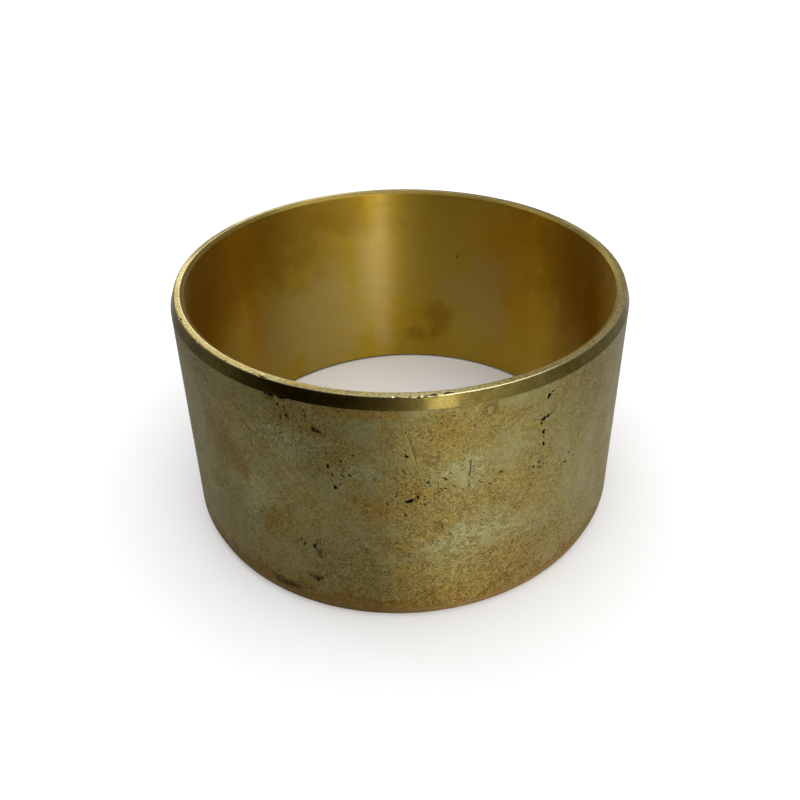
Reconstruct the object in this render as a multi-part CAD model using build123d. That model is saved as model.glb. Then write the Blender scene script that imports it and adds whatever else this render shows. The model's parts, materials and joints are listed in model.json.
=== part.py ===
from build123d import *
import os

# Plain sleeve bushing, machined in one piece from a bronze casting.
# The bore's axis is +Z and the origin is the centre of the lower end face. Millimetres.

# Driving dimensions.
BORE_DIAMETER = 101.6  # 4 in, runs on the shaft
OUTSIDE_DIAMETER = 107.95  # 4 1/4 in, presses into the housing
LENGTH = 57.9
LEAD_IN_LENGTH = 2.6  # chamfer outside, along the axis, at both ends
LEAD_IN_DEPTH = 0.9
BORE_CHAMFER_LENGTH = 0.65  # edge break inside, along the axis, at both ends
BORE_CHAMFER_DEPTH = 0.9


def half_section():
    """The wall cut by a plane through the axis: r along X, height along Z."""
    bore = BORE_DIAMETER / 2
    outside = OUTSIDE_DIAMETER / 2
    face_inside = bore + BORE_CHAMFER_DEPTH
    face_outside = outside - LEAD_IN_DEPTH
    lower_outside = [(face_inside, 0), (face_outside, 0), (outside, LEAD_IN_LENGTH)]
    upper_outside = [(outside, LENGTH - LEAD_IN_LENGTH), (face_outside, LENGTH), (face_inside, LENGTH)]
    inside = [(bore, LENGTH - BORE_CHAMFER_LENGTH), (bore, BORE_CHAMFER_LENGTH)]
    outline = Polyline(*lower_outside, *upper_outside, *inside, close=True)
    return Plane.XZ * make_face(outline)


def sleeve():
    """The whole bushing: one solid ring."""
    return revolve(half_section(), axis=Axis.Z)


PARTS = {"sleeve": sleeve}

os.makedirs("parts", exist_ok=True)
for node, make in PARTS.items():
    solid = make()
    print(node, "volume", round(solid.volume), "mm3")
    export_step(solid, f"parts/{node}.step")
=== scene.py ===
import json
import math

import bmesh
import bpy
import numpy as np
from mathutils import Matrix, Vector


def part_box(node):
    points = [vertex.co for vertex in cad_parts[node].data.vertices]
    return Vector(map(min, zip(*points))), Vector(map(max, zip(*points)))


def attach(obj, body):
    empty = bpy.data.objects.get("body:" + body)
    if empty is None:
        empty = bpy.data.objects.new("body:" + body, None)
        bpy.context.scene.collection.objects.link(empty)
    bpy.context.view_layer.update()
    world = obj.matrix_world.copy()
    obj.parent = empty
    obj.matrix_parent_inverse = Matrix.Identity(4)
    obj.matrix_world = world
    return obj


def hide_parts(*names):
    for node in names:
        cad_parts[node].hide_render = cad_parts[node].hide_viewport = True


# A bronze sleeve bushing on a pale floor. The mesh is worked out in millimetres, then placed in
# metres. A bearing is an angle round the axis in degrees: 0 faces the camera (-Y) and 90 is to the
# right (+X). A height is measured up the axis from the lower end face.

MM = 0.001

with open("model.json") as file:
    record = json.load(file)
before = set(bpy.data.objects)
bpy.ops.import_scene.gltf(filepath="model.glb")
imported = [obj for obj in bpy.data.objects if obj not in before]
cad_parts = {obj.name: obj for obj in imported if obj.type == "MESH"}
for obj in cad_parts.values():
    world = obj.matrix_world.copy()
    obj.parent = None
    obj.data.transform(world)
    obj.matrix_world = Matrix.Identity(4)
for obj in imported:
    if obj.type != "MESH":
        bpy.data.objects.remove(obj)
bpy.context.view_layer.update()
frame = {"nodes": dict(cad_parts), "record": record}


# -------------------------------------------------- the ring's turned sizes

SAME_HEIGHT = 0.01  # millimetres within which a corner counts as lying on the end face


def ring_sizes():
    """Radii and lengths in millimetres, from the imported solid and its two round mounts."""
    dims = {mount["name"]: mount["dims"] for mount in frame["record"]["mounts"]}
    low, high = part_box("sleeve")
    corners = [vertex.co for vertex in frame["nodes"]["sleeve"].data.vertices]
    face_radii = [co.xy.length / MM for co in corners if high.z - co.z < SAME_HEIGHT * MM]
    length = (high.z - low.z) / MM
    return {
        "bore": dims["bore"]["r_mm"],
        "outside": dims["outside"]["r_mm"],
        "face_in": min(face_radii),
        "face_out": max(face_radii),
        "length": length,
        "bore_break": (length - dims["bore"]["length_mm"]) / 2,
        "lead_in": (length - dims["outside"]["length_mm"]) / 2,
    }


RING = ring_sizes()

# -------------------------------------------------- marks on the metal

# Dents: where, bearing, height, half width round the ring, half height, lean in degrees, depth.
# On an edge the height is how far the dent's middle lies from that edge, along the metal.
DENTS = [
    ("outside", 31.5, 52.3, 0.50, 0.80, -20, 0.30),
    ("outside", 32.4, 53.1, 0.22, 0.30, 0, 0.15),
    ("outside", 33.9, 52.2, 0.22, 0.18, 0, 0.12),
    ("outside", 35.5, 52.4, 0.28, 0.20, 20, 0.14),
    ("outside", 31.7, 47.4, 0.60, 0.45, 35, 0.28),
    ("outside", 30.5, 47.1, 0.75, 0.50, 30, 0.28),
    ("outside", 30.0, 46.1, 0.35, 0.40, 0, 0.20),
    ("outside", 30.8, 43.7, 0.42, 0.70, 5, 0.28),
    ("outside", 30.9, 42.4, 0.25, 0.30, 0, 0.16),
    ("outside", 31.0, 40.8, 0.30, 0.40, 0, 0.22),
    ("outside", 30.2, 36.1, 0.45, 0.30, 0, 0.18),
    ("outside", 28.7, 35.6, 0.28, 0.25, 0, 0.14),
    ("outside", 30.4, 34.9, 0.30, 0.22, 20, 0.14),
    ("outside", 38.6, 32.2, 0.45, 0.35, 20, 0.20),
    ("outside", 41.6, 32.4, 0.30, 0.30, 0, 0.16),
    ("outside", 39.7, 34.2, 0.25, 0.35, 0, 0.16),
    ("outside", 0.4, 33.3, 1.20, 0.45, 20, 0.32),
    ("outside", 2.2, 34.2, 0.42, 0.15, 25, 0.18),
    ("outside", 3.3, 34.3, 0.28, 0.13, -20, 0.16),
    ("outside", 1.5, 33.2, 0.20, 0.16, 0, 0.14),
    ("outside", 0.0, 44.5, 0.38, 0.28, 20, 0.25),
    ("outside", 4.2, 37.8, 0.60, 0.24, -35, 0.20),
    ("outside", -0.4, 29.6, 0.25, 0.35, 0, 0.18),
    ("outside", -15.2, 35.8, 0.45, 0.65, 35, 0.24),
    ("outside", -14.1, 36.8, 0.25, 0.25, 0, 0.18),
    ("outside", -15.8, 39.2, 0.16, 0.75, 45, 0.16),
    ("outside", -13.4, 39.0, 0.16, 0.75, 45, 0.16),
    ("outside", -16.4, 40.8, 0.26, 0.24, 0, 0.18),
    ("outside", -11.9, 39.4, 0.20, 0.20, 0, 0.16),
    ("outside", -13.7, 42.6, 0.26, 0.20, -20, 0.16),
    ("outside", -10.9, 44.4, 0.34, 0.22, -35, 0.18),
    ("outside", -4.8, 37.3, 0.12, 0.85, 25, 0.14),
    ("outside", -3.9, 37.5, 0.12, 0.65, -30, 0.12),
    ("outside", -8.0, 33.6, 0.13, 0.85, 45, 0.14),
    ("outside", -4.0, 32.3, 0.13, 0.75, 35, 0.14),
    ("outside", -26.8, 53.4, 0.32, 0.40, 0, 0.24),
    ("outside", -25.4, 53.0, 0.22, 0.40, 0, 0.20),
    ("outside", -26.4, 50.6, 0.18, 0.80, 0, 0.16),
    ("outside", -24.9, 50.8, 0.18, 0.80, 0, 0.16),
    ("outside", -20.7, 52.2, 0.14, 0.60, 0, 0.14),
    ("outside", -20.9, 53.6, 0.40, 0.16, -30, 0.12),
    ("outside", -22.0, 49.6, 0.13, 1.40, 55, 0.10),
    ("outside", -22.2, 48.2, 1.10, 0.12, 4, 0.09),
    ("outside", -19.2, 49.5, 0.50, 0.35, -25, 0.18),
    ("outside", -18.0, 49.1, 0.50, 0.25, -30, 0.16),
    ("outside", -31.6, 50.1, 0.14, 0.50, -20, 0.10),
    ("outside", -26.8, 46.6, 0.25, 0.20, 0, 0.14),
    ("outside", -30.7, 44.8, 0.20, 0.20, 0, 0.14),
    ("outside", -31.2, 38.7, 0.13, 1.30, 60, 0.13),
    ("outside", -36.6, 26.1, 0.11, 1.10, 60, 0.10),
    ("outside", -24.4, 19.3, 0.15, 0.90, -25, 0.15),
    ("outside", -23.8, 17.9, 0.15, 0.70, -10, 0.15),
    ("outside", -23.4, 18.6, 0.32, 0.26, 0, 0.20),
    ("outside", -20.3, 20.2, 0.15, 1.00, -30, 0.16),
    ("outside", -20.9, 18.7, 0.13, 0.70, -20, 0.14),
    ("outside", -19.9, 19.7, 0.26, 0.24, 0, 0.20),
    ("outside", -19.9, 15.2, 0.14, 0.60, 30, 0.12),
    ("outside", -19.1, 14.9, 0.14, 0.50, -40, 0.12),
    ("outside", -21.1, 8.4, 0.50, 0.35, 0, 0.20),
    ("outside", -20.0, 9.5, 0.40, 0.24, -20, 0.15),
    ("outside", -22.9, 9.2, 0.35, 0.22, 20, 0.13),
    ("outside", 7.9, 38.3, 0.95, 0.16, -40, 0.18),
    ("outside", 8.1, 35.8, 0.55, 0.15, -30, 0.15),
    ("outside", 9.9, 36.1, 0.60, 0.14, -35, 0.15),
    ("outside", 10.6, 39.1, 0.60, 0.18, -30, 0.18),
    ("outside", 20.3, 37.2, 0.55, 0.24, 10, 0.20),
    ("outside", 20.2, 35.7, 0.35, 0.13, 0, 0.12),
    ("outside", 19.2, 35.3, 0.30, 0.13, -20, 0.12),
    ("outside", 24.4, 36.9, 0.22, 0.18, 0, 0.14),
    ("outside", 10.4, 48.3, 0.50, 0.20, -30, 0.07),
    ("outside", 13.2, 39.2, 0.14, 5.20, -3, 0.12),
    ("outside", 13.4, 35.4, 1.30, 0.13, -38, 0.12),
    ("outside", 15.4, 34.8, 0.40, 0.12, -20, 0.11),
    ("outside", 1.0, 46.3, 0.48, 4.80, 12.6, 0.070),
    ("outside", -13.1, 34.6, 0.34, 4.20, 0, 0.040),
    ("outside", -9.1, 19.8, 0.12, 0.85, -22, 0.13),
    ("outside", -8.2, 20.1, 0.12, 0.85, -22, 0.13),
    ("outside", -8.4, 20.9, 0.30, 0.12, -10, 0.12),
    ("outside", -9.0, 19.0, 0.30, 0.12, -10, 0.12),
    ("bore", 161.1, 37.5, 0.28, 0.24, 0, 0.12),
    ("lead_edge", -26.0, 0.0, 1.10, 0.45, -8, 0.35),
    ("lead_edge", -24.9, 0.1, 0.40, 0.45, 0, 0.28),
    ("lead_edge", -28.3, 0.0, 0.90, 0.32, 0, 0.24),
    ("lead_edge", -29.6, 0.0, 0.40, 0.26, 0, 0.20),
    ("face_edge", -30.8, 0.0, 1.0, 0.45, 0, 0.25),
    ("face_edge", 5.4, 0.3, 1.1, 0.45, 0, 0.25),
    ("face_edge", 8.6, 0.4, 1.3, 0.40, 0, 0.18),
    ("face_edge", -2.2, 0.0, 0.22, 0.22, 0, 0.16),
    ("face_edge", 0.6, 0.0, 0.28, 0.26, 0, 0.18),
    ("face_edge", 2.4, -0.1, 0.32, 0.30, 20, 0.18),
    ("face_edge", 3.8, 0.0, 0.26, 0.34, 0, 0.20),
    ("face_edge", -41.5, 0.0, 0.30, 0.26, 0, 0.16),
    ("face_edge", -52.0, 0.1, 0.26, 0.24, 0, 0.16),
    ("face_edge", 71.0, 0.0, 0.5, 0.35, 0, 0.15),
    ("face_edge", -64.0, 0.2, 0.6, 0.40, 0, 0.18),
    ("face_edge", 148.0, 0.0, 0.8, 0.35, 0, 0.16),
    ("lead_edge", 112.0, 0.0, 0.9, 0.40, 0, 0.22),
    ("lead_edge", -141.0, 0.1, 1.2, 0.45, 0, 0.25),
    ("outside", 138.0, 41.0, 0.16, 1.60, 30, 0.12),
    ("outside", 152.0, 33.0, 0.50, 0.30, 20, 0.20),
    ("outside", 160.5, 24.0, 0.14, 2.40, -35, 0.10),
    ("outside", -168.0, 44.0, 0.45, 0.35, 0, 0.22),
    ("outside", -152.0, 29.0, 0.60, 0.16, -30, 0.15),
    ("outside", -120.0, 18.0, 0.35, 0.45, 20, 0.20),
    ("outside", -98.0, 40.0, 0.14, 3.00, 12, 0.10),
    ("outside", -78.0, 27.0, 0.40, 0.30, 0, 0.20),
    ("outside", 72.0, 30.0, 0.40, 0.28, 20, 0.20),
    ("outside", 84.0, 22.0, 0.60, 0.15, -35, 0.14),
]

# Stains, and patches of painted highlight and painted shade: which, where, bearing, height, half
# width, half height, lean in degrees.
STAINS_AND_PAINTED_LIGHT = [
    ("golden", "outside", -46.0, 38.0, 4.0, 8.0, 42),
    ("golden", "outside", -31.8, 21.9, 4.6, 4.2, 0),
    ("golden", "outside", -14.0, 44.0, 5.0, 3.5, 0),
    ("golden", "outside", 5.0, 26.0, 5.0, 4.0, 0),
    ("golden", "outside", -24.0, 52.0, 4.0, 2.5, 0),
    ("golden", "outside", 24.0, 33.0, 4.5, 5.5, 0),
    ("golden", "outside", 33.0, 29.0, 3.5, 5.0, 0),
    ("golden", "outside", 20.0, 50.5, 5.0, 2.5, 0),
    ("golden", "outside", 26.0, 12.0, 9.0, 6.0, 0),
    ("golden", "outside", 150.0, 20.0, 16.0, 8.0, 10),
    ("golden", "outside", -95.0, 22.0, 9.0, 7.0, 0),
    ("brown", "outside", -43.6, 36.2, 3.0, 6.2, 45),
    ("brown", "outside", -40.0, 32.8, 2.4, 1.6, 0),
    ("brown", "outside", -31.8, 21.9, 2.4, 2.8, 0),
    ("brown", "outside", -19.0, 49.2, 2.6, 1.0, -25),
    ("brown", "outside", -11.0, 54.4, 9.0, 1.3, 0),
    ("brown", "outside", -7.0, 31.5, 5.0, 2.6, -15),
    ("brown", "outside", 1.5, 34.5, 3.0, 5.0, 20),
    ("brown", "outside", -1.0, 21.0, 2.2, 2.2, 0),
    ("brown", "outside", 8.5, 49.5, 3.6, 4.2, 0),
    ("brown", "outside", 17.0, 7.0, 9.0, 3.0, 5),
    ("brown", "outside", 27.0, 32.0, 2.2, 2.2, 0),
    ("brown", "outside", 25.0, 13.0, 4.0, 2.5, 0),
    ("brown", "outside", -150.0, 38.0, 14.0, 7.0, -15),
    ("brown", "outside", 95.0, 42.0, 10.0, 6.0, 0),
    ("dark", "outside", -30.4, 4.4, 3.8, 1.2, 0),
    ("dark", "outside", -20.4, 16.6, 0.9, 0.9, 0),
    ("dark", "outside", -21.2, 9.0, 1.5, 0.7, 0),
    ("dark", "outside", -18.6, 49.3, 0.9, 0.6, -25),
    ("dark", "outside", -100.0, 34.0, 2.0, 1.2, 0),
    # In the bore, the two large 'dark' patches, high on the left and on the right, are painted
    # shade; the two small ones low down are brown blotches.
    ("dark", "bore", 244.0, 54.0, 34.0, 20.0, 0),
    ("dark", "bore", 110.0, 45.0, 18.0, 32.0, 0),
    ("dark", "bore", 167.1, 15.4, 4.0, 5.5, 0),
    ("dark", "bore", 176.0, 9.0, 3.0, 3.0, 0),
    ("spot", "outside", 17.0, 53.2, 1.1, 0.8, 0),
    ("spot", "outside", 14.5, 50.6, 0.6, 0.5, 0),
    ("spot", "outside", 5.2, 43.2, 0.9, 0.7, 0),
    ("spot", "outside", 6.9, 25.7, 0.8, 0.6, 0),
    ("spot", "outside", -140.0, 44.0, 0.8, 0.7, 0),
    ("pale", "outside", 12.0, 40.0, 4.0, 3.0, 0),
    ("pale", "outside", -25.0, 44.0, 6.0, 4.0, 0),
    ("pale", "outside", -36.5, 27.0, 3.5, 7.0, 0),
    ("pale", "outside", -9.0, 40.5, 3.0, 2.0, 0),
    ("pale", "outside", 15.0, 22.0, 8.0, 4.0, 0),
    # In the bore, 'pale' at 190 is a painted highlight band; the other two are paler patches.
    ("pale", "bore", 152.0, 26.0, 9.0, 12.0, -10),
    ("pale", "bore", 215.0, 18.0, 16.0, 14.0, 0),
    ("pale", "bore", 190.0, 30.0, 5.5, 20.0, 0),
    # In the bore, the 'amber' streaks are painted amber reflections.
    ("amber", "bore", 238.0, 34.0, 2.2, 26.0, 4),
    ("amber", "bore", 140.0, 40.0, 6.0, 18.0, 0),
    ("amber", "bore", 103.0, 34.0, 1.8, 20.0, 0),
    # On the end face, 'dark' stretches are painted shade and 'pale' stretches are painted
    # highlights.
    ("dark", "face_edge", -112.0, 0.7, 9.0, 1.2, 0),
    ("dark", "face_edge", 144.0, 0.7, 20.0, 1.2, 0),
    ("dark", "face_edge", -104.0, 0.7, 4.0, 1.2, 0),
    ("pale", "face_edge", 5.0, 0.7, 10.0, 1.2, 0),
    ("pale", "face_edge", -88.0, 0.7, 6.0, 1.2, 0),
    ("pale", "face_edge", -135.0, 0.7, 5.0, 1.2, 0),
    ("pale", "face_edge", -152.0, 0.7, 8.0, 1.2, 0),
    ("pale", "face_edge", 112.0, 0.7, 9.0, 1.2, 0),
    # On the lead-in, the 'film' on the left is brown film and also painted shade, for its darker
    # reflection.
    ("film", "lead_edge", -24.0, 1.4, 14.0, 4.0, 0),
    ("film", "lead_edge", 170.0, 1.4, 20.0, 4.0, 0),
    ("scratched", "outside", -28.5, 34.0, 7.0, 11.0, 0),
    ("scratched", "outside", -38.0, 44.0, 6.0, 6.0, 0),
    ("scratched", "outside", 170.0, 30.0, 10.0, 8.0, 0),
    ("ringed", "outside", 14.0, 14.0, 17.0, 10.0, 0),
    ("ringed", "outside", 14.0, 28.0, 7.0, 5.0, 0),
    ("ringed", "outside", -10.0, 14.0, 10.0, 6.0, 0),
    ("ringed", "outside", -130.0, 20.0, 18.0, 9.0, 0),
    ("ringed", "outside", 110.0, 16.0, 14.0, 8.0, 0),
    ("dotted", "outside", -24.0, 50.0, 7.0, 3.5, 0),
    ("dotted", "outside", -28.0, 44.0, 7.0, 4.0, 0),
    ("dotted", "outside", -15.0, 40.0, 4.0, 4.0, 0),
    ("dotted", "outside", 39.0, 34.0, 3.0, 2.5, 0),
    ("dotted", "outside", 30.0, 36.5, 3.0, 2.5, 0),
    ("dotted", "outside", 31.5, 47.5, 1.5, 1.5, 0),
    ("dotted", "outside", 35.0, 52.5, 2.0, 1.2, 0),
    ("dotted", "outside", 2.0, 36.0, 4.0, 4.0, 0),
    ("dotted", "outside", -21.0, 16.0, 3.0, 6.0, 0),
    ("dotted", "outside", 165.0, 42.0, 10.0, 6.0, 0),
    ("dotted", "outside", -75.0, 40.0, 6.0, 6.0, 0),
    ("dashed", "outside", -8.0, 37.0, 10.0, 5.0, 0),
    ("dashed", "outside", 8.0, 35.5, 8.0, 3.5, 0),
    ("dashed", "outside", -22.0, 50.0, 6.0, 3.5, 0),
    ("dashed", "outside", -160.0, 32.0, 12.0, 6.0, 0),
]
KINDS = sorted({kind for kind, *_ in STAINS_AND_PAINTED_LIGHT})

# -------------------------------------------------- the section, as a closed line

# Each stretch: name, material, rows of faces between its two corners, and how many millimetres the
# sharp corner before it is rubbed down. The lower lead-in is as tarnished as the wall above it.
STRETCHES = [
    ("lower_bore_break", "edge", 2, 0.12),
    ("lower_face", "face", 3, 0.12),
    ("lower_lead_in", "outside", 3, 0.20),
    ("outside", "outside", 40, 0.12),
    ("upper_lead_in", "lead_in", 4, 0.12),
    ("upper_face", "face", 3, 0.30),
    ("upper_bore_break", "edge", 2, 0.12),
    ("bore", "bore", 26, 0.12),
]
BREAK_ROWS = 4  # rows of faces round each rubbed-down corner
GUARD = 0.06  # a row this far from each break keeps the flats flat under smooth shading
COLUMNS = 360  # faces round the ring
FIRST_BEARING = 100  # where the grid's first column stands, out of the camera's sight


def section_corners():
    """The turned corners, radius and height, starting where the bore wall ends below."""
    top = RING["length"]
    return [
        Vector((RING["bore"], RING["bore_break"])),
        Vector((RING["face_in"], 0)),
        Vector((RING["face_out"], 0)),
        Vector((RING["outside"], RING["lead_in"])),
        Vector((RING["outside"], top - RING["lead_in"])),
        Vector((RING["face_out"], top)),
        Vector((RING["face_in"], top)),
        Vector((RING["bore"], top - RING["bore_break"])),
    ]


def break_curve(corner, arrive, leave, size):
    """Points round a rubbed-down corner, from the end of one stretch to the start of the next."""
    start = corner - arrive * size
    end = corner + leave * size
    points = []
    for step in range(BREAK_ROWS + 1):
        t = step / BREAK_ROWS
        points.append(start * (1 - t) ** 2 + corner * (2 * t * (1 - t)) + end * t**2)
    return points


def section_line():
    """The section's points, the material of each row of faces, and where each stretch starts."""
    corners = section_corners()
    breaks = [size for *_, size in STRETCHES]
    points, materials, spans = [], [], {}
    for index, (name, material, rows, first_break) in enumerate(STRETCHES):
        following = (index + 1) % len(corners)
        start, end = corners[index], corners[following]
        before, after = corners[index - 1], corners[(index + 2) % len(corners)]
        along = (end - start).normalized()
        curve = break_curve(start, (start - before).normalized(), along, first_break)
        points += curve[BREAK_ROWS // 2 : -1]
        materials += [material] * (BREAK_ROWS - BREAK_ROWS // 2)
        first, last = curve[-1], end - along * breaks[following]
        inner_first, inner_last = first + along * GUARD, last - along * GUARD
        spans[name] = (len(points), start, first_break)
        points.append(first)
        points += [inner_first.lerp(inner_last, row / rows) for row in range(rows + 1)]
        materials += [material] * (rows + 2)
        closing = break_curve(end, along, (after - end).normalized(), breaks[following])
        points += closing[: BREAK_ROWS // 2]
        materials += [material] * (BREAK_ROWS // 2)
    return points, materials, spans


SECTION, ROW_MATERIALS, SPANS = section_line()
SECTION_R = np.array([point.x for point in SECTION] + [SECTION[0].x])
SECTION_Z = np.array([point.y for point in SECTION] + [SECTION[0].y])
STEPS = np.hypot(np.diff(SECTION_R), np.diff(SECTION_Z))
ALONG = np.concatenate([[0], np.cumsum(STEPS)])  # distance along the section, at every row
GIRTH = ALONG[-1]


def corner_along(stretch):
    """Distance along the section of the corner that a stretch starts from."""
    row, _, corner_break = SPANS[stretch]
    return ALONG[row] - corner_break


def along_of(surface, height):
    """Distance along the section of a mark at that height on a wall, or beside an edge."""
    if surface in ("outside", "bore"):
        return corner_along(surface) + abs(height - SPANS[surface][1].y)
    stretch = {"lead_edge": "upper_lead_in", "face_edge": "upper_face"}[surface]
    return corner_along(stretch) + height


def radius_of(surface):
    return RING["bore"] if surface == "bore" else RING["outside"]


def turn_of(bearing):
    """A bearing as a part of one turn from the grid's first column, 0 to 1."""
    return ((bearing - FIRST_BEARING) / 360) % 1


# -------------------------------------------------- the grid, unrolled

MATERIAL_ORDER = ["outside", "lead_in", "edge", "face", "bore"]


def offsets(turn, along, surface, bearing, height, lean):
    """Millimetres from a mark's middle to the points, across the mark and up it."""
    nearest_turn = (turn - turn_of(bearing) + 0.5) % 1 - 0.5
    round_ring = nearest_turn * 2 * math.pi * radius_of(surface)
    up_section = along - along_of(surface, height)
    angle = math.radians(lean)
    return (
        round_ring * math.cos(angle) + up_section * math.sin(angle),
        up_section * math.cos(angle) - round_ring * math.sin(angle),
    )


def reach(turn, along, surface, bearing, height, half_width, half_height, lean):
    """0 in the middle of a mark, 1 on its outline, which is an oval with uneven lobes."""
    across, up = offsets(turn, along, surface, bearing, height, lean)
    direction = np.arctan2(up / half_height, across / half_width)
    uneven = 1
    for lobes, size, phase in ((3, 0.18, bearing), (5, 0.13, height), (9, 0.07, bearing * height)):
        uneven = uneven + size * np.sin(lobes * direction + phase)
    return np.hypot(across / half_width, up / half_height) / uneven


def unrolled_grid():
    """A grid joined into a ring both ways, with corners at (turn, along) until it is rolled up."""
    grid = bmesh.new()
    rows = len(SECTION)
    corners = [
        [grid.verts.new((column / COLUMNS, ALONG[row], 0)) for row in range(rows)]
        for column in range(COLUMNS)
    ]
    for column in range(COLUMNS):
        right = (column + 1) % COLUMNS
        for row in range(rows):
            up = (row + 1) % rows
            below = [corners[column][row], corners[right][row]]
            above = [corners[right][up], corners[column][up]]
            face = grid.faces.new(below + above)
            face.material_index = MATERIAL_ORDER.index(ROW_MATERIALS[row])
            face.smooth = True
    return grid


def across_a_join(face):
    """True for a face that joins the grid's last column or row to its first."""
    turns = [corner.co.x for corner in face.verts]
    alongs = [corner.co.y for corner in face.verts]
    return max(turns) - min(turns) > 0.5 or max(alongs) - min(alongs) > GIRTH / 2


CUT_MARGINS = (2.0, 1.7, 1.4)  # each round of cutting reaches this far, in sizes of the dent


def cut_finer(grid):
    """Cuts the faces under every dent into a finer grid, so that the dents are real hollows."""
    for margin in CUT_MARGINS:
        middles = np.array([face.calc_center_median().to_tuple() for face in grid.faces])
        whole = np.array([not across_a_join(face) for face in grid.faces])
        near = np.zeros(len(middles), bool)
        for *mark, _ in DENTS:
            near |= reach(middles[:, 0], middles[:, 1], *mark) < margin
        chosen = [face for face, wanted in zip(grid.faces, near & whole) if wanted]
        edges = list(dict.fromkeys(edge for face in chosen for edge in face.edges))
        bmesh.ops.subdivide_edges(grid, edges=edges, cuts=1, use_grid_fill=True)


# -------------------------------------------------- rolling the grid up

FULL_BLACK = 0.14  # dents this deep or deeper have gone black inside
BLACK_REACH = 1.25  # where a dent's black fades out, in sizes of the dent
LIP_REACH = 1.15  # where the metal pushed up round a dent is highest, in sizes of the dent
LIP_WIDTH = 0.22
LIP_SHARE = 0.08  # the lip's height as a share of the dent's depth
SLOW_WAVE = 0.008  # millimetres
QUICK_WAVE = 0.004
NEARBY = 0.02  # millimetres along the section, for reading its slope
WEAR_REACH = 0.5  # millimetres from a corner over which its brightness fades
MAP_GAP = 0.004  # space round each half of the texture map
WALL_LENGTHS = {
    "outside": RING["length"] - 2 * RING["lead_in"],
    "bore": RING["length"] - 2 * RING["bore_break"],
}


def dent_depth(distance, depth):
    """Profile across a dent: a hollow with a slightly raised lip."""
    hollow = np.clip(1 - distance**2, 0, 1) ** 1.5
    lip = np.exp(-(((distance - LIP_REACH) / LIP_WIDTH) ** 2))
    return depth * (hollow - LIP_SHARE * lip)


def patch_strength(distance):
    """1 in the middle of a stain or painted patch, fading to 0 at twice its size."""
    return np.clip(1 - (distance / 2) ** 2, 0, 1) ** 2


def on_wall(along, surface):
    """1 on the wall that a stain or painted patch belongs to, because it stops at the rim."""
    if surface not in ("outside", "bore"):
        return np.ones(len(along))
    from_wall = np.abs(along - corner_along(surface) - WALL_LENGTHS[surface] / 2)
    return (from_wall <= WALL_LENGTHS[surface] / 2).astype(float)


def waviness(turn, along):
    """The slight unevenness of a casting that a lathe has skimmed, in millimetres."""
    angle = turn * 2 * math.pi
    slow = np.sin(3 * angle + 0.7) + 0.6 * np.sin(7 * angle + along / 17)
    return SLOW_WAVE * slow + QUICK_WAVE * np.sin(11 * angle - along / 9)


def section_at(along):
    """Radius, height and outward direction of the section at those distances."""
    radius, height = np.interp(along, ALONG, SECTION_R), np.interp(along, ALONG, SECTION_Z)
    ahead, behind = along + NEARBY, along - NEARBY
    forward_r = np.interp(ahead, ALONG, SECTION_R) - np.interp(behind, ALONG, SECTION_R)
    forward_z = np.interp(ahead, ALONG, SECTION_Z) - np.interp(behind, ALONG, SECTION_Z)
    size = np.hypot(forward_r, forward_z)
    return radius, height, forward_z / size, -forward_r / size


def edge_wear(along):
    """1 on the two corners of each end face, fading out beside them."""
    starts = ("lower_face", "lower_lead_in", "upper_face", "upper_bore_break")
    corners = np.array([corner_along(name) for name in starts])
    nearest = np.abs(along[:, None] - corners[None, :]).min(axis=1)
    return np.clip(1 - nearest / WEAR_REACH, 0, 1)


def write_uvs(mesh, turn, along):
    """One map is the unrolled metal in millimetres, for the finishes. The other, for texture maps,
    lays it out in two halves, one above the other."""
    layer = mesh.uv_layers.new(name="OFBake")
    flat = mesh.uv_layers.new(name="unrolled")
    places = np.zeros((len(mesh.loops), 2))
    spread = np.zeros((len(mesh.loops), 2))
    for face in mesh.polygons:
        loops = list(face.loop_indices)
        corners = [mesh.loops[loop].vertex_index for loop in loops]
        turns, alongs = turn[corners], along[corners]
        if np.ptp(turns) > 0.5:
            turns = np.where(turns < 0.5, turns + 1, turns)
        if np.ptp(alongs) > GIRTH / 2:
            alongs = np.where(alongs < GIRTH / 2, alongs + GIRTH, alongs)
        half = int(turns.mean() * 2)
        places[loops, 0] = MAP_GAP + (turns * 2 - half) * (1 - 2 * MAP_GAP)
        places[loops, 1] = half / 2 + MAP_GAP + alongs / GIRTH * (0.5 - 2 * MAP_GAP)
        spread[loops, 0] = turns * 2 * math.pi * RING["outside"]
        spread[loops, 1] = alongs
    layer.data.foreach_set("uv", places.ravel())
    flat.data.foreach_set("uv", spread.ravel())


def marks(turn, along):
    """How far the metal is pushed outwards, and the maps of marks that the finishes read."""
    push = waviness(turn, along)
    fields = {name: np.zeros(len(turn)) for name in ["pit", *KINDS]}
    for *mark, depth in DENTS:
        distance = reach(turn, along, *mark)
        push -= dent_depth(distance, depth)
        darkness = np.clip(BLACK_REACH - distance, 0, 1) * min(depth / FULL_BLACK, 1) ** 2
        fields["pit"] = np.maximum(fields["pit"], darkness)
    for kind, surface, *mark in STAINS_AND_PAINTED_LIGHT:
        distance = reach(turn, along, surface, *mark)
        strength = patch_strength(distance) * on_wall(along, surface)
        fields[kind] = np.maximum(fields[kind], strength)
    fields["wear"] = edge_wear(along)
    return push, fields


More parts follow.
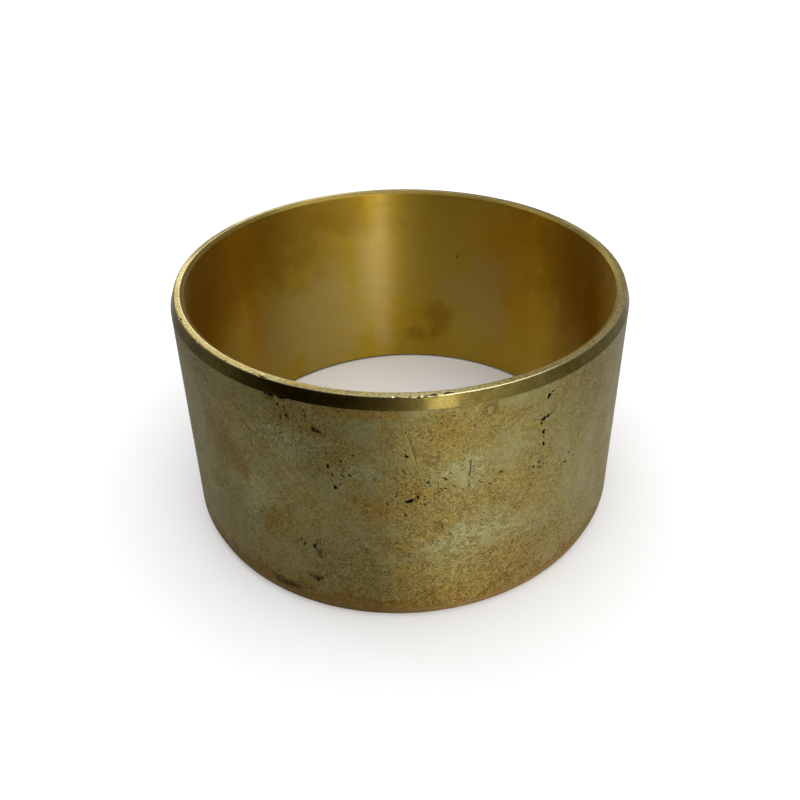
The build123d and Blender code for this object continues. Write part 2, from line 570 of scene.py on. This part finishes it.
def sleeve():
    """The whole bushing as one closed mesh."""
    grid = unrolled_grid()
    cut_finer(grid)
    mesh = bpy.data.meshes.new("bronze_sleeve")
    grid.to_mesh(mesh)
    grid.free()
    places = np.zeros(len(mesh.vertices) * 3)
    mesh.vertices.foreach_get("co", places)
    turn, along = places[0::3].copy(), places[1::3].copy()

    radius, height, out_r, out_z = section_at(along)
    push, fields = marks(turn, along)
    bearing = np.radians(FIRST_BEARING + turn * 360)
    radius, height = radius + push * out_r, height + push * out_z
    places[0::3] = radius * np.sin(bearing) * MM
    places[1::3] = -radius * np.cos(bearing) * MM
    places[2::3] = height * MM
    mesh.vertices.foreach_set("co", places)
    write_uvs(mesh, turn, along)
    for name, values in fields.items():
        mesh.attributes.new(name, "FLOAT", "POINT").data.foreach_set("value", values)
    for name in MATERIAL_ORDER:
        mesh.materials.append(MATERIALS[name]())
    mesh.update()
    piece = bpy.data.objects.new("bronze_sleeve", mesh)
    bpy.context.collection.objects.link(piece)
    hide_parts("sleeve")
    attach(piece, "root")


# -------------------------------------------------- shader nodes, by short calls


def add(tree, kind, inputs, output=0, **settings):
    """Adds a node, sets or links its inputs, and returns one of its outputs."""
    node = tree.nodes.new("ShaderNode" + kind)
    for name, value in settings.items():
        setattr(node, name, value)
    for name, value in inputs.items():
        if isinstance(value, bpy.types.NodeSocket):
            tree.links.new(value, node.inputs[name])
        else:
            node.inputs[name].default_value = value
    return node.outputs[output]


def maths(tree, operation, first, second=0.0):
    return add(tree, "Math", {0: first, 1: second}, operation=operation)


def between(tree, value, low, high, out_low=0.0, out_high=1.0):
    """Goes smoothly from out_low to out_high as value goes from low to high."""
    limits = {"From Min": low, "From Max": high, "To Min": out_low, "To Max": out_high}
    return add(tree, "MapRange", {"Value": value, **limits}, interpolation_type="SMOOTHSTEP")


def mix(tree, amount, first, second, blend_type="MIX"):
    """Goes from the first colour to the second. A Mix node's colours are its sockets 6 and 7."""
    inputs = {0: amount, 6: first, 7: second}
    return add(tree, "Mix", inputs, output=2, data_type="RGBA", blend_type=blend_type)


def stretch(tree, where, x, y, z):
    """Scales the place along each axis, in units per millimetre."""
    return add(tree, "VectorMath", {0: where, 1: (x, y, z)}, operation="MULTIPLY")


def noise(tree, where, scale, detail=2.0, roughness=0.5, distortion=0.0):
    shape = {"Scale": scale, "Detail": detail, "Roughness": roughness, "Distortion": distortion}
    return add(tree, "TexNoise", {"Vector": where, **shape})


def field(tree, name):
    """One of the mesh's own maps of marks."""
    return add(tree, "Attribute", {}, output="Fac", attribute_name=name)


def place(tree):
    """The point on the metal, in millimetres."""
    metres = add(tree, "TexCoord", {}, output="Object")
    return add(tree, "VectorMath", {0: metres, "Scale": 1 / MM}, operation="SCALE")


def unrolled(tree):
    """The point on the unrolled metal, in millimetres round the ring and along the section."""
    return add(tree, "UVMap", {}, uv_map="unrolled")


def parts_of(tree, where):
    """The x, y and z of a place."""
    node = tree.nodes.new("ShaderNodeSeparateXYZ")
    tree.links.new(where, node.inputs[0])
    return node.outputs


def leaning(tree, where, degrees):
    """The same place in a frame turned by that angle, for marks that run at a slant."""
    inputs = {"Vector": where, "Angle": math.radians(degrees)}
    return add(tree, "VectorRotate", inputs, rotation_type="Z_AXIS")


def wobbled(tree, where, scale, amount):
    """The place, pushed about by a noise, so that outlines drawn on it are uneven."""
    push = add(tree, "TexNoise", {"Vector": where, "Scale": scale, "Detail": 2.0}, output="Color")
    centred = add(tree, "VectorMath", {0: push, 1: (0.5, 0.5, 0.5)}, operation="SUBTRACT")
    scaled = add(tree, "VectorMath", {0: centred, "Scale": amount}, operation="SCALE")
    return add(tree, "VectorMath", {0: where, 1: scaled}, operation="ADD")


def times(tree, value, factor, plus=0.0):
    """The value, times a factor, plus a shift."""
    return add(tree, "Math", {0: value, 1: factor, 2: plus}, operation="MULTIPLY_ADD")


def total(tree, first, *others):
    """The sum of the values."""
    for other in others:
        first = maths(tree, "ADD", first, other)
    return first


def both(tree, first, *others):
    """The product of the values, which is 1 only where all of them are."""
    for other in others:
        first = maths(tree, "MULTIPLY", first, other)
    return first


def tint(tree, amount, colour, factors):
    """Multiplies a colour by factors, as far as amount says."""
    return mix(tree, amount, colour, (*factors, 1), "MULTIPLY")


def shade(tree, colour, value, low, high, darkest, lightest, amount=1.0):
    """Makes a colour lighter and darker as value goes from low to high."""
    return mix(tree, amount, colour, between(tree, value, low, high, darkest, lightest), "MULTIPLY")


def outline(tree, value, level, width):
    """1 on the line where value passes level, as round a dried stain."""
    off_line = maths(tree, "ABSOLUTE", times(tree, value, 1.0, -level))
    return between(tree, off_line, 0.0, width, 1.0, 0.0)


def most(tree, first, *others):
    """The largest of the values."""
    for other in others:
        first = maths(tree, "MAXIMUM", first, other)
    return first


def cells(tree, where, scale):
    """Distance from the middle of scattered cells, and one random number for each cell."""
    node = tree.nodes.new("ShaderNodeTexVoronoi")
    node.voronoi_dimensions = "2D"
    tree.links.new(where, node.inputs["Vector"])
    node.inputs["Scale"].default_value = scale
    return node.outputs["Distance"], parts_of(tree, node.outputs["Color"])[0]


def dots(tree, where, scale, size, share):
    """Small round spots in that share of the cells, 1 in their middles."""
    distance, pick = cells(tree, where, scale)
    return both(
        tree,
        between(tree, distance, size * 0.5, size, 1.0, 0.0),
        between(tree, pick, share - 0.02, share + 0.02, 1.0, 0.0),
    )


def ovals(tree, where, scale):
    """Thin outlines of dried drops, of many sizes."""
    distance, pick = cells(tree, wobbled(tree, where, 0.6, 1.1), scale)
    beyond = maths(tree, "SUBTRACT", distance, times(tree, pick, 0.5, 0.14))
    return both(tree, outline(tree, beyond, 0.0, 0.11), between(tree, pick, 0.55, 0.65, 1.0, 0.0))


def hairlines(tree, flat, lean):
    """Fine scratches that run at a slant over the unrolled metal."""
    strands = noise(tree, stretch(tree, leaning(tree, flat, lean), 0.08, 3.0, 1.0), 1.0, 2.0, 0.5)
    return between(tree, strands, 0.53, 0.63)


def grey(value):
    return (value, value, value, 1.0)


def finish_material(tree, colour, roughness, height):
    """Connects the colour, roughness and relief, which is in millimetres, to the metal."""
    metal = tree.nodes["Principled BSDF"]
    metal.inputs["Metallic"].default_value = 1.0
    tree.links.new(colour, metal.inputs["Base Color"])
    tree.links.new(roughness, metal.inputs["Roughness"])
    bump = add(tree, "Bump", {"Strength": 1.0, "Distance": MM, "Height": height})
    tree.links.new(bump, metal.inputs["Normal"])
    return metal


def new_material(name):
    material = bpy.data.materials.new(name)
    material.use_nodes = True
    return material, material.node_tree


def along_the_axis(tree, metal, amount):
    """Turning marks run round the ring, so a highlight spreads up and down the axis."""
    tangent = add(tree, "Tangent", {}, direction_type="RADIAL", axis="Z")
    tree.links.new(tangent, metal.inputs["Tangent"])
    metal.inputs["Anisotropic"].default_value = amount
    metal.inputs["Anisotropic Rotation"].default_value = 0.25


# -------------------------------------------------- the five finishes

PALE = (0.368, 0.335, 0.145, 1)  # the tarnish film on the wall, from thick to thin
SAGE = (0.352, 0.308, 0.124, 1)
GOLDEN = (0.340, 0.262, 0.078, 1)
BROWN = (0.355, 0.250, 0.066, 1)  # what stains leave, up the wall and round the foot
FOOT_BROWN = (0.330, 0.202, 0.044, 1)
RIM = (0.55, 0.46, 0.32)  # what a stain's rim and a deep stain do to the film's colour
DEEP = (0.18, 0.12, 0.05)
DRIED_WHITE = (1.40, 1.50, 1.90)
FRESH_SCRATCH = (1.45, 1.42, 1.32)
HOLLOW = (0.012, 0.009, 0.005, 1)
BARE = (0.98, 0.84, 0.48, 1)  # metal rubbed bright on an edge
FOOT_TIDE = 5.0  # millimetres up the wall that the foot's brown reaches
RIM_LEVEL = 0.78  # of the film's thinness, where its golden patches have a darker rim
BLOT_LEVEL = 0.56  # of the blots' noise, where they end


def wall_noises(tree, where):
    """The noises that the wall's marks share, from clouds down to fine grain."""
    noises = {
        "cloud": noise(tree, where, 0.06, 4.0, 0.6),
        "patch": noise(tree, where, 0.17, 6.0, 0.68, 0.5),
        "mottle": noise(tree, where, 0.9, 4.0, 0.7, 1.4),
        "speckle": noise(tree, where, 1.9, 3.0, 0.65, 1.2),
        "grain": noise(tree, where, 4.5, 2.0, 0.6),
    }
    ragged = total(tree, noises["patch"], times(tree, noises["mottle"], 0.45))
    noises["edge"] = times(tree, ragged, 1.6, -1.16)
    noises["thin"] = total(tree, noises["patch"], times(tree, noises["mottle"], 0.5))
    return noises


def tarnish(tree, noises, height):
    """The film's colour, and how far it has gone golden and brown."""
    edge = noises["edge"]
    clouds = between(tree, noises["cloud"], 0.46, 0.64)
    thin = between(tree, noises["thin"], 0.74, 0.84)
    marked = between(tree, total(tree, field(tree, "golden"), times(tree, edge, 0.7)), 0.12, 0.55)
    low = between(tree, height, 4.0, 24.0, 0.7, 0.0)
    golden = most(tree, clouds, thin, marked, low)
    pale = between(tree, total(tree, field(tree, "pale"), edge), 0.20, 0.75)
    near_foot = between(tree, height, 5.0, 15.0, 0.3, 0.0)
    brown = total(tree, times(tree, field(tree, "brown"), 0.8), edge, near_foot)
    brown = between(tree, brown, 0.20, 0.65)
    colour = mix(tree, golden, SAGE, GOLDEN)
    colour = mix(tree, pale, colour, PALE)
    return mix(tree, brown, colour, BROWN), golden, brown


def with_foot_tide(tree, colour, where, height, thin):
    """Adds the ragged brown band round the foot, and the darker rims of stains."""
    ragged = noise(tree, where, 0.22, 6.0, 0.68, 0.8)
    level = total(tree, height, times(tree, ragged, 26.0, -13.0))
    foot = between(tree, level, FOOT_TIDE - 0.5, FOOT_TIDE + 0.5, 1.0, 0.0)
    colour = mix(tree, foot, colour, FOOT_BROWN)
    rims = most(
        tree,
        times(tree, outline(tree, thin, RIM_LEVEL, 0.022), 0.35),
        times(tree, outline(tree, level, FOOT_TIDE, 0.9), 0.7),
    )
    return tint(tree, rims, colour, RIM)


def with_dried_marks(tree, colour, where, flat, edge):
    """Adds blots and dried drops where the wall was wet, dark stains, and single white spots."""
    wet = between(tree, field(tree, "ringed"), 0.05, 0.5)
    blot = noise(tree, stretch(tree, where, 1.0, 1.0, 1.4), 0.40, 3.0, 0.5, 0.8)
    blots = both(tree, wet, between(tree, blot, BLOT_LEVEL, BLOT_LEVEL + 0.02))
    colour = mix(tree, times(tree, blots, 0.85), colour, BROWN)
    drops = ovals(tree, stretch(tree, flat, 1.0, 1.35, 1.0), 0.40)
    drops = both(tree, wet, most(tree, drops, outline(tree, blot, BLOT_LEVEL, 0.03)))
    colour = tint(tree, times(tree, drops, 0.5), colour, DEEP)
    dark = between(tree, total(tree, field(tree, "dark"), edge), 0.20, 0.95, 0.0, 0.9)
    colour = tint(tree, dark, colour, DEEP)
    spot = field(tree, "spot")
    colour = tint(tree, between(tree, spot, 0.05, 0.30, 0.0, 0.6), colour, RIM)
    return tint(tree, between(tree, spot, 0.45, 0.60), colour, DRIED_WHITE)


def crossed_scratches(tree, flat):
    """Fine scratches that cross each other, where the wall was scuffed."""
    hairs = most(tree, hairlines(tree, flat, 48), times(tree, hairlines(tree, flat, -38), 0.6))
    return both(tree, hairs, between(tree, field(tree, "scratched"), 0.1, 0.6))


def dark_flecks(tree, flat, cloud):
    """Slanting dashes and dots where the mesh's maps say, and sparse dots in the clouds."""
    dashes = dots(tree, stretch(tree, leaning(tree, flat, 40), 0.34, 1.1, 1.0), 1.0, 0.20, 0.16)
    dashes = both(tree, dashes, between(tree, field(tree, "dashed"), 0.2, 0.5))
    dense = dots(tree, flat, 1.1, 0.24, 0.30)
    dense = both(tree, dense, between(tree, field(tree, "dotted"), 0.15, 0.5))
    sparse = both(tree, dots(tree, flat, 0.45, 0.09, 0.35), between(tree, cloud, 0.40, 0.55))
    return most(tree, dashes, dense, sparse)


def outside_finish():
    """Sage tarnish with golden and brown stains, dried drops, specks, pits and fine scratches."""
    material, tree = new_material("tarnished_outside")
    where, flat = place(tree), unrolled(tree)
    height = parts_of(tree, where)[2]
    noises = wall_noises(tree, where)
    cloud, mottle, speckle = noises["cloud"], noises["mottle"], noises["speckle"]
    colour, golden, brown = tarnish(tree, noises, height)
    colour = with_foot_tide(tree, colour, where, height, noises["thin"])
    colour = with_dried_marks(tree, colour, where, flat, noises["edge"])

    uneven = between(tree, total(tree, golden, brown), 0.0, 1.0, 0.55, 1.0)
    colour = shade(tree, colour, mottle, 0.36, 0.64, 0.80, 1.16, uneven)
    colour = shade(tree, colour, speckle, 0.34, 0.66, 0.66, 1.26, uneven)
    colour = shade(tree, colour, noises["grain"], 0.32, 0.68, 0.86, 1.14)

    hairs = crossed_scratches(tree, flat)
    colour = tint(tree, hairs, colour, FRESH_SCRATCH)
    flecks = dark_flecks(tree, flat, cloud)
    eaten = total(tree, field(tree, "pit"), times(tree, speckle, 0.5, -0.25))
    pits = between(tree, eaten, 0.25, 0.60)
    colour = mix(tree, most(tree, times(tree, flecks, 0.8), pits), colour, HOLLOW)

    roughness = between(tree, cloud, 0.3, 0.7, 0.42, 0.50)
    roughness = total(tree, roughness, times(tree, brown, 0.05), times(tree, pits, 0.3))
    relief = total(tree, times(tree, mottle, 0.015), times(tree, speckle, 0.016))
    relief = total(tree, relief, times(tree, flecks, -0.08), times(tree, hairs, -0.006))
    metal = finish_material(tree, colour, roughness, relief)
    along_the_axis(tree, metal, 0.6)
    return material


LEAD_IN_METAL = ((0.25, 0.19, 0.048, 1), (0.33, 0.25, 0.066, 1))  # darker and lighter
LEAD_IN_FILM_AND_SHADE = (0.40, 0.34, 0.18)  # a film's colour here is what it does to the metal's; on the left it is also painted shade


def lead_in_finish():
    """The turned chamfer: smoother than the wall, with less tarnish, and a film that also paints a
    darker reflection on its left.
    """
    material, tree = new_material("turned_lead_in")
    where = place(tree)
    cloud = noise(tree, where, 0.10, 4.0, 0.6)
    patch = noise(tree, where, 0.5, 4.0, 0.65)
    speckle = noise(tree, where, 2.4, 3.0, 0.65)
    lathe = noise(tree, stretch(tree, where, 0.03, 0.03, 4.0), 1.0, 3.0, 0.7)
    colour = mix(tree, between(tree, cloud, 0.35, 0.65), *LEAD_IN_METAL)
    colour = shade(tree, colour, patch, 0.35, 0.65, 0.90, 1.10)
    colour = shade(tree, colour, speckle, 0.3, 0.7, 0.85, 1.15)
    # A brown film, which on the left also paints a darker reflection.
    film = between(tree, total(tree, field(tree, "film"), times(tree, patch, 0.6, -0.3)), 0.1, 0.9)
    colour = tint(tree, film, colour, LEAD_IN_FILM_AND_SHADE)
    pits = between(tree, field(tree, "pit"), 0.25, 0.60)
    colour = mix(tree, pits, colour, HOLLOW)
    bare = between(tree, total(tree, field(tree, "wear"), times(tree, speckle, 0.5)), 0.85, 1.20)
    colour = mix(tree, bare, colour, BARE)
    roughness = between(tree, patch, 0.3, 0.7, 0.15, 0.24)
    relief = total(tree, times(tree, lathe, 0.004), times(tree, speckle, 0.005))
    metal = finish_material(tree, colour, roughness, relief)
    along_the_axis(tree, metal, 0.7)
    return material


EDGE_METAL = ((0.38, 0.27, 0.06, 1), (0.52, 0.38, 0.10, 1))


def edge_finish():
    """The broken edges at the ends of the bore."""
    material, tree = new_material("broken_edge")
    where = place(tree)
    speckle = noise(tree, where, 2.0, 3.0, 0.7)
    colour = mix(tree, between(tree, speckle, 0.35, 0.65), *EDGE_METAL)
    roughness = between(tree, speckle, 0.3, 0.7, 0.32, 0.40)
    metal = finish_material(tree, colour, roughness, times(tree, speckle, 0.005))
    along_the_axis(tree, metal, 0.5)
    return material


FACE_METAL = ((0.70, 0.54, 0.18, 1), (0.82, 0.66, 0.26, 1))
FACE_CLEAN_AND_HIGHLIGHT = (0.96, 0.79, 0.34, 1)
FACE_HOLLOW = (0.12, 0.07, 0.03, 1)
FACE_FILM_AND_SHADE = (0.62, 0.58, 0.48)


def face_finish():
    """The end faces, cut bright and a little torn, with the rings the tool left, and painted
    highlights and painted shade round the ring.
    """
    material, tree = new_material("faced_end")
    where = place(tree)
    x, y, _ = parts_of(tree, where)
    radius = maths(tree, "SQRT", total(tree, both(tree, x, x), both(tree, y, y)))
    rings = add(tree, "TexNoise", {"W": radius, "Scale": 5.0, "Detail": 3.0}, noise_dimensions="1D")
    torn = noise(tree, where, 1.8, 5.0, 0.75)
    cloud = noise(tree, where, 0.12, 3.0, 0.6)
    colour = mix(tree, between(tree, cloud, 0.35, 0.65), *FACE_METAL)
    uneven = times(tree, torn, 0.8, -0.4)
    # Painted shade and painted highlights at the listed bearings, over the torn metal's own
    # unevenness.
    dull_and_shade = between(tree, total(tree, field(tree, "dark"), uneven), 0.1, 0.9)
    colour = tint(tree, dull_and_shade, colour, FACE_FILM_AND_SHADE)
    clean_and_highlight = between(tree, total(tree, field(tree, "pale"), uneven), 0.1, 0.9)
    colour = mix(tree, clean_and_highlight, colour, FACE_CLEAN_AND_HIGHLIGHT)
    colour = shade(tree, colour, torn, 0.34, 0.66, 0.62, 1.30)
    pits = between(tree, total(tree, field(tree, "pit"), times(tree, torn, 0.4)), 0.45, 0.80)
    colour = mix(tree, pits, colour, FACE_HOLLOW)
    bare = between(tree, total(tree, field(tree, "wear"), times(tree, torn, 0.5)), 0.80, 1.15)
    colour = mix(tree, bare, colour, BARE)
    roughness = between(tree, torn, 0.3, 0.7, 0.28, 0.40)
    roughness = total(tree, roughness, times(tree, bare, -0.15))
    relief = total(tree, times(tree, rings, 0.010), times(tree, torn, 0.020))
    metal = finish_material(tree, colour, roughness, relief)
    along_the_axis(tree, metal, 0.5)
    return material


BORE_METAL = ((0.76, 0.51, 0.045, 1), (0.78, 0.555, 0.08, 1))
BORE_PALE_AND_HIGHLIGHT = (0.80, 0.60, 0.18, 1)
BORE_HOLLOW = (0.05, 0.02, 0.01, 1)
BORE_AMBER_REFLECTION = (1.0, 0.90, 0.75)
BORE_FILM_AND_SHADE = (0.76, 0.66, 0.45)


def bore_finish():
    """The running surface: fine turned, satin and golden, with a faint film, painted shade, a
    painted highlight band and painted amber reflections.
    """
    material, tree = new_material("turned_bore")
    where = place(tree)
    cloud = noise(tree, where, 0.045, 3.0, 0.5)
    patch = noise(tree, where, 0.16, 5.0, 0.65, 0.4)
    bands = noise(tree, stretch(tree, where, 0.004, 0.004, 0.30), 1.0, 3.0, 0.5)
    lathe = noise(tree, stretch(tree, where, 0.02, 0.02, 5.0), 1.0, 2.0, 0.6)
    colour = mix(tree, between(tree, cloud, 0.38, 0.62), *BORE_METAL)
    edge = times(tree, patch, 0.9, -0.45)
    # Paler patches, with a painted highlight band at bearing 190.
    pale = between(tree, total(tree, field(tree, "pale"), edge), 0.0, 1.0, 0.0, 0.9)
    colour = mix(tree, pale, colour, BORE_PALE_AND_HIGHLIGHT)
    # Painted amber reflections, in tall streaks.
    amber = between(tree, total(tree, field(tree, "amber"), edge), 0.0, 1.0)
    colour = tint(tree, amber, colour, BORE_AMBER_REFLECTION)
    # A faint film, and painted shade high on the left and on the right of the bore.
    dark = total(tree, field(tree, "dark"), times(tree, edge, 1.6))
    colour = tint(tree, between(tree, dark, 0.1, 0.9, 0.0, 0.9), colour, BORE_FILM_AND_SHADE)
    colour = shade(tree, colour, bands, 0.3, 0.7, 0.98, 1.02)
    pits = between(tree, field(tree, "pit"), 0.25, 0.60)
    colour = mix(tree, pits, colour, BORE_HOLLOW)
    roughness = total(tree, between(tree, bands, 0.3, 0.7, 0.35, 0.38), times(tree, pale, 0.05))
    relief = total(tree, times(tree, lathe, 0.0015), times(tree, bands, 0.003))
    metal = finish_material(tree, colour, roughness, relief)
    along_the_axis(tree, metal, 1.0)
    return material


MATERIALS = {
    "outside": outside_finish,
    "lead_in": lead_in_finish,
    "edge": edge_finish,
    "face": face_finish,
    "bore": bore_finish,
}

# -------------------------------------------------- camera, light and floor

# Angles are in degrees. The camera's distance and height are in the ring's outside radii.
CAMERA_ELEVATION = 29.2
CAMERA_DISTANCE = 3.65
AIM_HEIGHT = 0.8755  # where the circle that the camera moves on is centred, up the axis
CAMERA_YAW = 3.88  # how far it looks to the right of the axis
CAMERA_ROLL = -0.90
CAMERA_LENS = 35.66  # millimetres, as is the sensor
SENSOR = 36.0
CAMERA_SHIFT = (-0.0728, -0.1183)  # frame widths that the ring stands off the picture's middle
CLIP_START = 0.01  # metres


def camera():
    data = bpy.data.cameras.new("camera")
    data.lens, data.sensor_width = CAMERA_LENS, SENSOR
    data.shift_x, data.shift_y = CAMERA_SHIFT
    data.clip_start = CLIP_START
    data.dof.use_dof = False
    piece = bpy.data.objects.new("camera", data)
    bpy.context.collection.objects.link(piece)
    unit = RING["outside"] * MM
    tilt = math.radians(CAMERA_ELEVATION)
    back = CAMERA_DISTANCE * unit
    spot = Vector((0, -back * math.cos(tilt), AIM_HEIGHT * unit + back * math.sin(tilt)))
    level = Matrix.Rotation(math.pi / 2 - tilt, 4, "X")
    yaw = Matrix.Rotation(-math.radians(CAMERA_YAW), 4, "Y")
    roll = Matrix.Rotation(math.radians(CAMERA_ROLL), 4, "Z")
    piece.matrix_world = Matrix.Translation(spot) @ level @ yaw @ roll
    bpy.context.scene.camera = piece


def softbox(name, bearing, elevation, distance, width, height, brightness):
    """A rectangular light aimed at the ring, with its radiance as its brightness."""
    data = bpy.data.lights.new(name, "AREA")
    data.shape, data.size, data.size_y = "RECTANGLE", width, height
    data.energy = brightness * math.pi * width * height
    piece = bpy.data.objects.new(name, data)
    bpy.context.collection.objects.link(piece)
    turn, rise = math.radians(bearing), math.radians(elevation)
    middle = Vector((0, 0, RING["length"] / 2 * MM))
    level = Vector((math.sin(turn), -math.cos(turn), 0))
    out = level * math.cos(rise) + Vector((0, 0, math.sin(rise)))
    piece.location = middle + out * distance
    piece.rotation_euler = (-out).to_track_quat("-Z", "Y").to_euler()


# Brightness by bearing of the room and the bench that the metal mirrors. Both are dark to the left
# of the camera and bright to its right. The room's is light from the world; the bench's is painted
# light and painted shadow in the floor's colour. The picture and the floor get plain daylight
# instead.
ROOM = [
    (-180, 0.24),
    (-115, 0.12),
    (-80, 0.08),
    (-50, 0.02),
    (-22, 0.05),
    (-5, 0.22),
    (25, 0.65),
    (50, 0.38),
    (75, 0.17),
    (100, 0.18),
    (150, 0.22),
    (180, 0.24),
]
BENCH_PAINTED_LIGHT_AND_SHADOW = [
    (-180, 0.35),
    (-90, 0.30),
    (-8, 0.33),
    (12, 0.93),
    (45, 0.76),
    (60, 0.68),
    (85, 0.55),
    (110, 0.50),
    (180, 0.40),
]
BENCH_REACH = (0.11, 0.20)  # metres from the axis over which the bench gives way to the room
DAYLIGHT = 1.12


def by_bearing(tree, where, stops):
    """Brightness by bearing, from a list of bearings and brightnesses."""
    x, y, _ = parts_of(tree, where)
    bearing = maths(tree, "ARCTAN2", x, maths(tree, "MULTIPLY", y, -1.0))
    turn = maths(tree, "ADD", maths(tree, "DIVIDE", bearing, 2 * math.pi), 0.5)
    ramp = tree.nodes.new("ShaderNodeValToRGB")
    tree.links.new(turn, ramp.inputs[0])
    elements = ramp.color_ramp.elements
    for _ in range(len(stops) - len(elements)):
        elements.new(0.5)
    for element, (degrees, brightness) in zip(elements, stops):
        element.position = degrees / 360 + 0.5
        element.color = grey(brightness)
    return ramp.outputs[0]


def room():
    """A pale surround for the picture and the floor, with a dimmer room reflected in the metal."""
    world = bpy.data.worlds.new("room")
    bpy.context.scene.world = world
    world.use_nodes = True
    tree = world.node_tree
    outwards = add(tree, "TexCoord", {}, output="Generated")
    reflected = by_bearing(tree, outwards, ROOM)
    glossy = add(tree, "LightPath", {}, output="Is Glossy Ray")
    seen = mix(tree, glossy, grey(DAYLIGHT), reflected)
    tree.links.new(seen, tree.nodes["Background"].inputs["Color"])


# Soft lights: name, bearing, elevation, distance, width and height in metres, and brightness.
LIGHTS = [
    ("window", 15.5, 20, 1.2, 0.25, 0.9, 1.75),
    ("back_window_high", 198, 30, 1.2, 0.22, 0.26, 2.25),
    ("back_window_low", 187, 19, 1.2, 0.10, 0.18, 2.0),
    ("back_window_top", 179, 50, 1.2, 0.16, 0.12, 2.4),
    ("side_window", 63, 61, 1.2, 0.95, 0.25, 2.5),
    ("left_skylight", -122, 54, 1.2, 0.10, 0.5, 3.4),
    ("right_skylight", 112, 64, 1.2, 0.14, 0.12, 3.0),
    ("overhead", 0, 85, 1.0, 0.8, 0.8, 0.4),
]

FLOOR_HALF = 3.0  # metres from the axis to each side of the floor
FLOOR_WHITE = 0.9


def floor():
    """A pale floor, which the metal sees as the dimmer bench it stood on, with light and shadow
    painted into its colour.
    """
    material, tree = new_material("pale_floor")
    shader = tree.nodes["Principled BSDF"]
    where = add(tree, "TexCoord", {}, output="Object")
    distance = add(tree, "VectorMath", {0: where}, output="Value", operation="LENGTH")
    far = between(tree, distance, *BENCH_REACH)
    # The floor's colour as the metal sees it: painted light and painted shadow by bearing, dark to
    # the left of the camera and bright to its right.
    reflected = mix(tree, far, by_bearing(tree, where, BENCH_PAINTED_LIGHT_AND_SHADOW), by_bearing(tree, where, ROOM))
    glossy = add(tree, "LightPath", {}, output="Is Glossy Ray")
    tree.links.new(mix(tree, glossy, grey(FLOOR_WHITE), reflected), shader.inputs["Base Color"])
    shader.inputs["Roughness"].default_value = 0.9
    mesh = bpy.data.meshes.new("floor")
    signs = ((-1, -1), (1, -1), (1, 1), (-1, 1))
    corners = [(x * FLOOR_HALF, y * FLOOR_HALF, 0) for x, y in signs]
    mesh.from_pydata(corners, [], [(0, 1, 2, 3)])
    mesh.materials.append(material)
    piece = bpy.data.objects.new("floor", mesh)
    bpy.context.collection.objects.link(piece)


# -------------------------------------------------- putting it together

camera()
room()
for light in LIGHTS:
    softbox(*light)
floor()
sleeve()
bpy.context.scene.view_settings.view_transform = "Standard"
bpy.context.view_layer.update()
